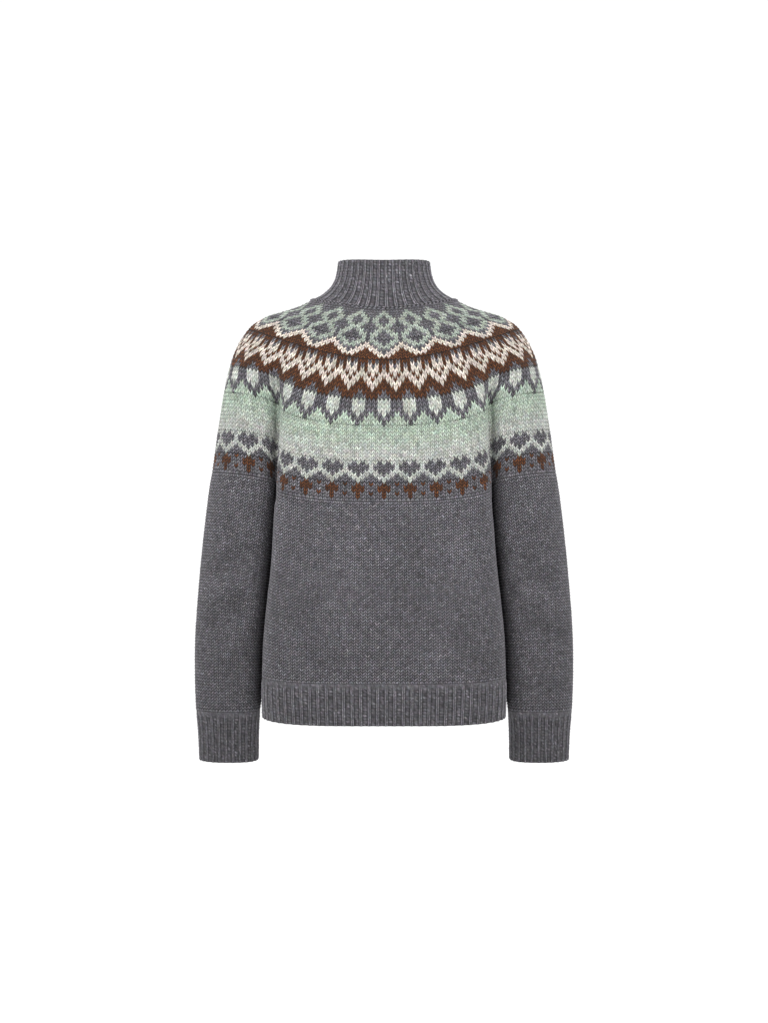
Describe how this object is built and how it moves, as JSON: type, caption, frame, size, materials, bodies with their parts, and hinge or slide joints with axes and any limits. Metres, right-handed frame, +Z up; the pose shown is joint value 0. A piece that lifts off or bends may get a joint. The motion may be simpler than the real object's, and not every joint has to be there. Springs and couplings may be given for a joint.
{
  "type": "circular-yoke sweater",
  "caption": "Long-sleeved knitted sweater with a ribbed stand collar, patterned round yoke, ribbed hem and cuffs, filled out as worn and open at neck, hem and cuffs.",
  "frame": {"origin": "middle of the neck's base, level with the shoulders, where the wearer holds the garment up", "axes": "+Z up, the back of the garment faces -Y, +X towards the wearer's right"},
  "size_m": [0.5364, 0.2258, 0.7051],
  "materials": {
    "yoke_knit": "matt stranded wool knit in mint, grey, brown and cream",
    "body_knit": "matt heather grey wool in plain knit",
    "rib_knit": "matt heather grey wool in one-by-one rib"
  },
  "bodies": {
    "root": {"collar": "rib_knit", "yoke": "yoke_knit", "body_back": "body_knit", "body_front": "body_knit", "sleeve_left": "body_knit", "sleeve_right": "body_knit", "hem_back": "rib_knit", "hem_front": "rib_knit", "cuff_left": "rib_knit", "cuff_right": "rib_knit"}
  },
  "joints": []
}
